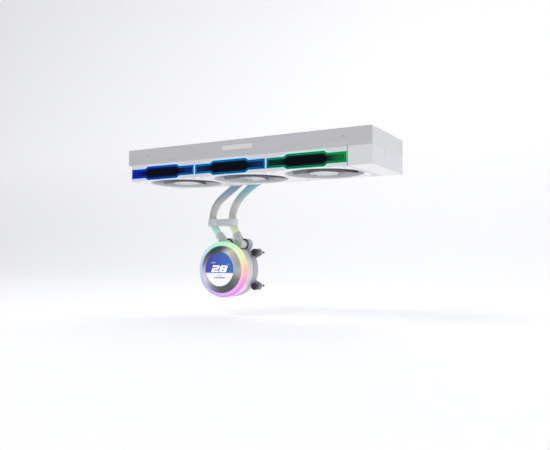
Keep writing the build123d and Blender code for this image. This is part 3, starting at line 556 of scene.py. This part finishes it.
def ring_look():
    """Milky ring whose light runs through the colours round the pump."""
    recipe = Recipe("ring_light", (0.10, 0.10, 0.10), 0.4, Specular_IOR_Level=0.3)
    share, y = round_pump(recipe)
    rainbow = recipe.ramp(share, [
        (0.0, (0.30, 0.51, 1.0)), (0.083, (0.30, 0.30, 1.0)), (0.167, (0.36, 0.24, 1.0)),
        (0.25, (0.60, 0.20, 1.0)), (0.333, (0.85, 0.16, 1.0)), (0.417, (1.0, 0.22, 0.80)),
        (0.5, (1.0, 0.55, 0.38)), (0.583, (0.95, 0.95, 0.42)), (0.667, (0.58, 1.0, 0.44)),
        (0.75, (0.30, 1.0, 0.55)), (0.833, (0.20, 0.90, 0.80)), (0.917, (0.30, 0.60, 1.0)),
        (1.0, (0.30, 0.51, 1.0)),
    ])
    front, back = (corner.y - PUMP_CENTRE.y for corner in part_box("light_ring"))
    # painted highlight: white mixed into the glow along the ring's front lip
    painted_highlight_lip = recipe.spread(y, front + 0.2 * MM, front + 0.9 * MM, 0.3, 0.0)
    # painted shade: the glow dimmed towards the back edge, where the gap behind the ring lies in shade
    edge = recipe.spread(y, back - 1.4 * MM, back - 0.2 * MM, 0.9, 0.2)
    grain = recipe.spread(recipe.noise(60.0), 0.3, 0.7, 0.94, 1.0)
    recipe.glow(recipe.blend(painted_highlight_lip, rainbow, (1.0, 1.0, 1.0)), recipe.sum("MULTIPLY", edge, grain))
    return recipe.material


def bezel_look():
    """Turned metal ring, with painted highlights to the left and right and painted shade above and below."""
    recipe = spun("spun_metal", (0.9, 0.9, 0.9), (1.0, 1.0, 1.0), 0.3, tuple(PUMP_CENTRE), "Y", metallic=0.7)
    share, _ = round_pump(recipe)
    # painted highlights and shade: base colour brighter to the left and right and darker above and below, round
    # the pump's axis
    painted_glint_sweep = recipe.ramp(share, [
        (0.0, (0.80, 0.79, 0.80)), (0.083, (0.78, 0.78, 0.76)), (0.167, (0.30, 0.30, 0.31)),
        (0.25, (0.13, 0.14, 0.15)), (0.36, (0.13, 0.14, 0.14)), (0.43, (0.26, 0.27, 0.27)),
        (0.5, (0.78, 0.74, 0.72)), (0.583, (0.86, 0.82, 0.78)), (0.667, (0.50, 0.48, 0.46)),
        (0.75, (0.15, 0.17, 0.17)), (0.833, (0.17, 0.18, 0.18)), (0.917, (0.40, 0.36, 0.38)),
        (1.0, (0.80, 0.79, 0.80)),
    ])
    lines = recipe.shader.inputs["Base Color"].links[0].from_socket
    # the turned lines times the painted highlights and shade
    painted_light_colour = recipe.add("VectorMath", operation="MULTIPLY")
    recipe.feed(painted_light_colour.inputs[0], painted_glint_sweep)
    recipe.feed(painted_light_colour.inputs[1], lines)
    recipe.feed(recipe.shader.inputs["Base Color"], painted_light_colour.outputs[0])
    return recipe.material


def display_look():
    """Lit display: a blue field over a pale lower band."""
    recipe = Recipe("display_panel", (0.02, 0.02, 0.03), 0.25)
    x, _, z = recipe.split(recipe.place(tuple(PUMP_CENTRE), (1000.0, 1000.0, 1000.0)))
    blue = recipe.ramp(recipe.spread(x, -27.0, 27.0, 0.0, 1.0), [
        (0.0, (0.030, 0.035, 0.46)), (0.5, (0.030, 0.10, 0.50)), (1.0, (0.0, 0.17, 0.50)),
    ])
    shade = recipe.blend(recipe.spread(z, 27.0, 16.0, 0.6, 1.0), (0.05, 0.10, 0.30), blue)
    band = recipe.spread(z, -5.7, -5.5, 0.0, 1.0)
    pixels = recipe.spread(recipe.noise(5000.0), 0.3, 0.7, 0.94, 1.0)
    recipe.glow(recipe.blend(band, (0.93, 0.94, 0.96), shade), pixels)
    return recipe.material


def sleeve_look(side, near_ring, near_fans):
    """White braid with painted shade between its strands, and painted light from the lamps at its two ends: tinted
    colour, and a faint glow near the ring.
    """
    recipe = Recipe(f"{side}_sleeve", (0.8, 0.8, 0.78), 0.75, 0.0, Sheen_Weight=0.25)
    relief = recipe.add("Attribute", attribute_name="relief").outputs["Fac"]
    # painted shade: the braid darkened where its relief is low, between the strands
    strand_crevice_shade = recipe.spread(relief, 0.0, 0.8, 0.0, 1.0)
    tone = recipe.blend(recipe.noise(70.0), (0.72, 0.72, 0.70), (0.82, 0.82, 0.80))
    _, _, z = recipe.split(recipe.place())
    # painted light: colour tinted by the lights of the ring below and the fans above
    light = recipe.ramp(recipe.spread(z, -0.13, -0.03, 0.0, 1.0), [
        (0.0, near_ring), (0.12, near_ring), (0.32, (0.95, 0.96, 0.90)), (0.52, (0.9, 0.92, 0.88)),
        (0.72, near_fans), (0.9, near_fans), (1.0, (1.0, 1.0, 1.0)),
    ])
    painted_light_colour = recipe.add("VectorMath", operation="MULTIPLY")
    recipe.feed(painted_light_colour.inputs[0], recipe.blend(strand_crevice_shade, (0.40, 0.41, 0.42), tone))
    recipe.feed(painted_light_colour.inputs[1], light)
    recipe.feed(recipe.shader.inputs["Base Color"], painted_light_colour.outputs[0])
    # painted light: the sleeve glows faintly near the ring
    recipe.glow(near_ring + (1.0,), recipe.spread(z, -0.112, -0.128, 0.0, 0.4))
    recipe.bump(recipe.noise(3000.0), 0.06 * MM, 0.5)
    return recipe.material


def board_look():
    """Circuit board with copper tracks under green lacquer."""
    recipe = Recipe("circuit_board", (0.02, 0.10, 0.05), 0.35)
    cells = recipe.add("TexBrick")
    recipe.feed(cells.inputs["Vector"], recipe.place(scale=(300.0, 300.0, 300.0)))
    cells.inputs["Color1"].default_value = (0.02, 0.10, 0.05, 1.0)
    cells.inputs["Color2"].default_value = (0.03, 0.14, 0.07, 1.0)
    cells.inputs["Mortar"].default_value = (0.10, 0.22, 0.08, 1.0)
    recipe.feed(recipe.shader.inputs["Base Color"], cells.outputs["Color"])
    return recipe.material


def glass_look():
    """Clear cover glass with a faint smear in its gloss."""
    recipe = Recipe("display_glass", (1.0, 1.0, 1.0), 0.02, 0.0, Transmission_Weight=1.0, IOR=1.45)
    recipe.roughness(recipe.noise(60.0), 0.01, 0.04)
    return recipe.material


def lit_mark_look(name, colour, strength):
    """A lit mark on the display, with the panel's fine pixel grain."""
    recipe = Recipe(name, colour, 0.4)
    grain = recipe.spread(recipe.noise(5000.0), 0.3, 0.7, strength * 0.95, strength)
    recipe.glow((*colour, 1.0), grain)
    return recipe.material


def hub_look(number):
    """Mirror disc in the middle of a fan, faintly turned."""
    centre = (FAN_CENTRES[number], 0.0, 0.0)
    return spun(
        f"hub_mirror_{number + 1}", (0.46, 0.46, 0.53), (0.56, 0.56, 0.63), 0.22, centre, "Z", 900.0
    ).material


def make_looks():
    """Every material, by material slot, or by node where a slot needs one for each fan."""
    looks = {
        "brushed_rail": brushed(
            "brushed_rail", (0.62, 0.62, 0.63), (0.78, 0.78, 0.79), 0.45, (14.0, 1500.0, 1500.0), 0.3
        ),
        "white_paint": coat("white_paint", (0.80, 0.80, 0.82), (0.86, 0.86, 0.88), 0.42),
        "white_core": coat("white_core", (0.72, 0.72, 0.74), (0.80, 0.80, 0.82), 0.5, 700.0),
        "white_plastic": coat("white_plastic", (0.83, 0.83, 0.86), (0.89, 0.89, 0.91), 0.38),
        "grey_plastic": coat("grey_plastic", (0.48, 0.49, 0.53), (0.56, 0.57, 0.61), 0.5),
        "pump_shell": coat("pump_shell", (0.50, 0.49, 0.58), (0.60, 0.59, 0.67), 0.45),
        "white_screws": coat("white_screws", (0.50, 0.50, 0.52), (0.62, 0.62, 0.64), 0.35, 1200.0),
        # painted shade: near-black blades standing for the shade inside the fan frames
        "fan_blades": coat(
            "fan_blades", (0.15, 0.15, 0.17), (0.22, 0.22, 0.25), 0.26, 900.0, Coat_Weight=0.2
        ),
        "steel": brushed("steel", (0.50, 0.50, 0.52), (0.66, 0.66, 0.68), 0.28, (900.0, 900.0, 60.0)),
        "dark_magnet": coat("dark_magnet", (0.05, 0.05, 0.06), (0.10, 0.10, 0.11), 0.6),
        "light_strip": coat(
            "light_strip", (0.55, 0.75, 0.8), (0.7, 0.85, 0.9), 0.3, Emission_Strength=0.4
        ),
        "bronze": coat("bronze", (0.42, 0.25, 0.10), (0.58, 0.36, 0.16), 0.4, metallic=1.0),
        "copper": brushed("copper", (0.62, 0.28, 0.16), (0.80, 0.42, 0.26), 0.24, (60.0, 900.0, 900.0)),
        "bracket_steel": coat(
            "bracket_steel", (0.50, 0.50, 0.53), (0.62, 0.62, 0.65), 0.36, metallic=0.5
        ),
        "black_screws": coat("black_screws", (0.05, 0.05, 0.06), (0.09, 0.09, 0.10), 0.4, metallic=0.4),
        "black_rubber": coat("black_rubber", (0.02, 0.02, 0.02), (0.04, 0.04, 0.04), 0.8),
        "white_fitting": coat("white_fitting", (0.74, 0.74, 0.79), (0.84, 0.84, 0.88), 0.3),
        "cap_plastic": coat("cap_plastic", (0.50, 0.49, 0.58), (0.60, 0.59, 0.68), 0.35),
        "collar_metal": brushed(
            "collar_metal", (0.72, 0.73, 0.76), (0.80, 0.81, 0.84), 0.32, (60.0, 60.0, 60.0), 0.3
        ),
        "white_fins": coat("white_fins", (0.60, 0.60, 0.63), (0.74, 0.74, 0.77), 0.4, 700.0),
    }
    looks = {name: recipe.material for name, recipe in looks.items()}
    looks["ring_light"] = ring_look()
    looks["display_panel"] = display_look()
    looks["display_glass"] = glass_look()
    looks["spun_metal"] = bezel_look()
    looks["left_sleeve"] = sleeve_look("left", (0.55, 1.0, 0.86), (0.45, 0.58, 0.80))
    looks["right_sleeve"] = sleeve_look("right", (0.84, 1.0, 0.66), (0.38, 0.72, 0.82))
    # the slot's look, for the plain hoses that the sleeves replace
    looks["hose_sleeve"] = looks["left_sleeve"]
    looks["circuit_board"] = board_look()
    for number in range(3):
        looks[f"fan_{number + 1}_frame"] = fan_shell_look(number)
        looks[f"fan_{number + 1}_mirror_windows"] = window_look(number)
        looks[f"fan_{number + 1}_hub_mirror"] = hub_look(number)
    return looks


def dress_nodes():
    """Give every carried-over CAD node its material."""
    for subpart in frame["record"]["subparts"]:
        node = subpart["node"]
        look = LOOKS.get(node) or LOOKS[subpart["material_slot"]]
        for material_slot in frame["nodes"][node].material_slots:
            material_slot.material = look


# ---------------------------------------------------------------- radiator core
def make_fins():
    """Folded fins between the core's tubes, standing for the plain strips."""
    low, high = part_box("fin_strips")
    reach = (TUBE_PITCH - TUBE_THICKNESS) / 2 - 0.2 * MM
    folds = round((high.x - low.x) / (FIN_FOLD / 2))
    step = (high.x - low.x - FIN_SHEET) / folds
    strips = []
    for strip in range(FIN_STRIPS):
        middle = (strip - (FIN_STRIPS - 1) / 2) * TUBE_PITCH
        vertices, faces = [], []
        for fold in range(folds + 1):
            y = middle + (reach if fold % 2 else -reach)
            for x in (low.x + fold * step, low.x + fold * step + FIN_SHEET):
                for z in (low.z, high.z):
                    vertices.append(Vector((x, y, z)))
        for fold in range(folds):
            here, there = fold * 4, fold * 4 + 4
            faces += [
                (here, here + 1, there + 1, there), (here + 2, there + 2, there + 3, here + 3),
                (here, there, there + 2, here + 2), (here + 1, here + 3, there + 3, there + 1),
            ]
        last = folds * 4
        faces += [(0, 2, 3, 1), (last, last + 1, last + 3, last + 2)]
        strips.append((vertices, faces))
    fins = joined("folded_fins", strips, smooth=False)
    fins.data.materials.append(LOOKS["white_fins"])
    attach(fins, "root")
    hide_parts("fin_strips")


# ---------------------------------------------------------------- pump head
def make_springs():
    """Coil springs on the four bracket screws, standing for the plain sleeves."""
    low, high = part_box("bracket_springs")
    wire, turns, segments, steps = 0.5 * MM, 4.5, 10, 160
    coil = 3.3 * MM
    sleeve = 4.0 * MM
    springs = []
    for x in (low.x + sleeve, high.x - sleeve):
        for z in (low.z + sleeve, high.z - sleeve):
            path = []
            for step in range(steps + 1):
                share = step / steps
                angle = 2 * math.pi * turns * share
                y = low.y + wire + (high.y - low.y - 2 * wire) * share
                path.append(Vector((x + coil * math.cos(angle), y, z + coil * math.sin(angle))))
            vertices = along_path(path, lambda turn, reach: wire, segments)
            springs.append((vertices, ring_faces(len(path), segments)))
    piece = joined("coil_springs", springs)
    piece.data.materials.append(LOOKS["steel"])
    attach(piece, "root")
    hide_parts("bracket_springs")


def make_display():
    """Cover glass with a ground edge, and the marks that the display shows."""
    low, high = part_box("display_glass")
    radius = (high.x - low.x) / 2
    edge = 0.3 * MM
    back = DISPLAY_FRONT - 0.4 * MM
    cover = joined("display_cover", [turned([
        (0.01 * MM, low.y), (radius - edge, low.y), (radius, low.y + edge), (radius, back),
        (0.01 * MM, back),
    ], PUMP_CENTRE, 128)])
    cover.data.materials.append(LOOKS["display_glass"])
    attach(cover, "root")
    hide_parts("display_glass")
    shadow = lit_mark_look("mark_shadow", (0.02, 0.03, 0.16), 0.3)
    white = lit_mark_look("mark_white", (0.95, 0.97, 1.0), 0.96)
    pale = lit_mark_look("mark_pale", (0.22, 0.30, 0.70), 1.0)
    blue = lit_mark_look("mark_blue", (0.22, 0.30, 0.70), 0.9)
    dark = lit_mark_look("mark_dark", (0.05, 0.06, 0.16), 0.7)
    figures("display_number_shadow", (1.0, -0.5), SHADOW_LIFT, shadow)
    figures("display_number", (0.0, 0.0), FIGURE_LIFT, white)
    bar("display_label_bar", (-12.0, 10.6), (9.0, 1.9), pale)
    bar("display_lower_bar", (0.0, -9.6), (8.0, 1.3), blue)
    for number, (middle, width) in enumerate(WORD_BARS):
        bar(f"display_word_bar_{number + 1}", (middle, -13.2), (width, 1.9), dark)
    dot = joined("display_degree_ring", [turned([
        (0.8 * MM, DISPLAY_FRONT - 0.16 * MM), (1.5 * MM, DISPLAY_FRONT - 0.16 * MM),
        (1.5 * MM, DISPLAY_FRONT - 0.02 * MM), (0.8 * MM, DISPLAY_FRONT - 0.02 * MM),
    ], PUMP_CENTRE + Vector((17.0, 0.0, 7.7)) * MM, 32)])
    mark(dot, pale)


def mark(piece, look):
    """Finish a mark on the display."""
    piece.data.materials.append(look)
    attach(piece, "root")


def bar(name, centre, size, look):
    """Round-ended flat bar on the display, from millimetres off its centre."""
    half = size[1] / 2
    straight = size[0] / 2 - half
    outline = []
    for side in (1, -1):
        for step in range(9):
            angle = side * math.pi / 2 - math.pi * step / 8
            outline.append((side * straight + half * math.cos(angle), half * math.sin(angle)))
    count = len(outline)
    vertices = []
    for lift in (BAR_FRONT, BAR_BACK):
        for x, z in outline:
            vertices.append(PUMP_CENTRE + Vector((
                (centre[0] + x) * MM, DISPLAY_FRONT - lift * MM - PUMP_CENTRE.y, (centre[1] + z) * MM
            )))
    faces = [tuple(range(count)), tuple(reversed(range(count, 2 * count)))]
    for corner in range(count):
        after = (corner + 1) % count
        faces.append((corner, corner + count, after + count, after))
    mark(mesh_object(name, vertices, faces, smooth=False), look)


def figures(name, shift, lift, look):
    """The slanted figures on the display, moved by a shift in millimetres."""
    outlines = bpy.data.curves.new(name, "CURVE")
    outlines.dimensions = "2D"
    outlines.fill_mode = "BOTH"
    outlines.extrude = 0.5
    for start, loops in FIGURES:
        for loop in loops:
            spline = outlines.splines.new("POLY")
            spline.points.add(len(loop) - 1)
            spline.use_cyclic_u = True
            for point, (x, z) in zip(spline.points, loop):
                point.co = (start + x + FIGURE_SLANT * z + shift[0], z + FIGURE_FOOT + shift[1], 0.0, 1.0)
    carrier = bpy.data.objects.new(name + "_outlines", outlines)
    bpy.context.scene.collection.objects.link(carrier)
    mesh = bpy.data.meshes.new_from_object(carrier)
    mesh.name = name
    bpy.data.objects.remove(carrier)
    bpy.data.curves.remove(outlines)
    for vertex in mesh.vertices:
        x, z, depth = vertex.co
        vertex.co = (
            PUMP_CENTRE.x + x * MM, DISPLAY_FRONT - (lift + FIGURE_SHEET * depth) * MM,
            PUMP_CENTRE.z + z * MM,
        )
    piece = bpy.data.objects.new(name, mesh)
    bpy.context.scene.collection.objects.link(piece)
    mark(piece, look)


def make_elbow_caps():
    """Pressed cap on the front of each swivel elbow, and a near-black ring round it at the pump base's front,
    painted shadow of the gap round the elbow.
    """
    for side in ("left", "right"):
        low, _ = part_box(f"{side}_elbow")
        joint = next(j for j in frame["joints"] if j["name"] == f"{side}_elbow_swivel")
        centre = Vector(joint["pos_m"])
        front = low.y
        cap = joined(f"{side}_elbow_cap", [turned([
            (0.01 * MM, front - 0.7 * MM), (3.9 * MM, front - 0.7 * MM), (4.4 * MM, front - 0.35 * MM),
            (4.4 * MM, front + 0.5 * MM), (0.01 * MM, front + 0.5 * MM),
        ], centre, 64)])
        cap.data.materials.append(LOOKS["cap_plastic"])
        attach(cap, f"{side}_swivel")
        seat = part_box("pump_base")[0].y
        # painted shadow: a near-black ring where the gap round the elbow lies in shade
        ring = joined(f"{side}_port_shadow_ring", [turned([
            (7.0 * MM, seat - 0.25 * MM), (8.3 * MM, seat - 0.9 * MM), (8.9 * MM, seat - 0.25 * MM),
            (8.9 * MM, seat + 0.2 * MM), (7.0 * MM, seat + 0.2 * MM),
        ], centre, 64)])
        ring.data.materials.append(LOOKS["black_rubber"])
        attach(ring, "root")


# ---------------------------------------------------------------- stage
def make_stage():
    """Pale floor that turns up into a backdrop, and soft lights."""
    floor_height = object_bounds()[0].z - FLOOR_DROP
    back, front, rise, bend = 1.5, -2.5, 2.5, 0.6
    profile = [(front, floor_height), (back - bend, floor_height)]
    for step in range(1, 17):
        angle = math.pi / 2 * step / 16
        profile.append((
            back - bend + bend * math.sin(angle), floor_height + bend * (1 - math.cos(angle))
        ))
    profile.append((back, floor_height + rise))
    vertices = [Vector((x, y, z)) for y, z in profile for x in (-FLOOR_HALF, FLOOR_HALF)]
    faces = [(i * 2, i * 2 + 1, i * 2 + 3, i * 2 + 2) for i in range(len(profile) - 1)]
    floor = mesh_object("floor", vertices, faces)
    paper = coat("floor_paper", (0.93, 0.93, 0.94), (0.96, 0.96, 0.97), 0.9)
    paper.glow((1.0, 1.0, 1.0, 1.0), 0.34)
    floor.data.materials.append(paper.material)
    bpy.context.scene.view_settings.view_transform = "Standard"
    world = bpy.data.worlds.new("studio")
    bpy.context.scene.world = world
    world.use_nodes = True
    background = world.node_tree.nodes["Background"]
    background.inputs["Color"].default_value = (0.93, 0.95, 1.0, 1.0)
    background.inputs["Strength"].default_value = 0.3
    lights = [
        ("key", (-0.6, -1.4, 1.5), 1.0, 11.0, (1.0, 0.99, 0.97)),
        ("fill", (1.6, -0.6, 0.4), 1.2, 3.6, (0.96, 0.98, 1.0)),
        ("top", (0.0, 0.4, 1.4), 1.4, 4.0, (1.0, 1.0, 1.0)),
    ]
    for name, place, size, power, colour in lights:
        data = bpy.data.lights.new(name, "AREA")
        data.shape = "DISK"
        data.size = size
        data.energy = power
        data.color = colour
        lamp = bpy.data.objects.new(name, data)
        lamp.location = place
        lamp.rotation_euler = (-Vector(place)).to_track_quat("-Z", "Y").to_euler()
        bpy.context.scene.collection.objects.link(lamp)


make_camera()
LOOKS = make_looks()
make_hose("left", LEFT_ROUTE)
make_hose("right", RIGHT_ROUTE)
dress_nodes()
make_fins()
make_springs()
make_display()
make_elbow_caps()
make_stage()
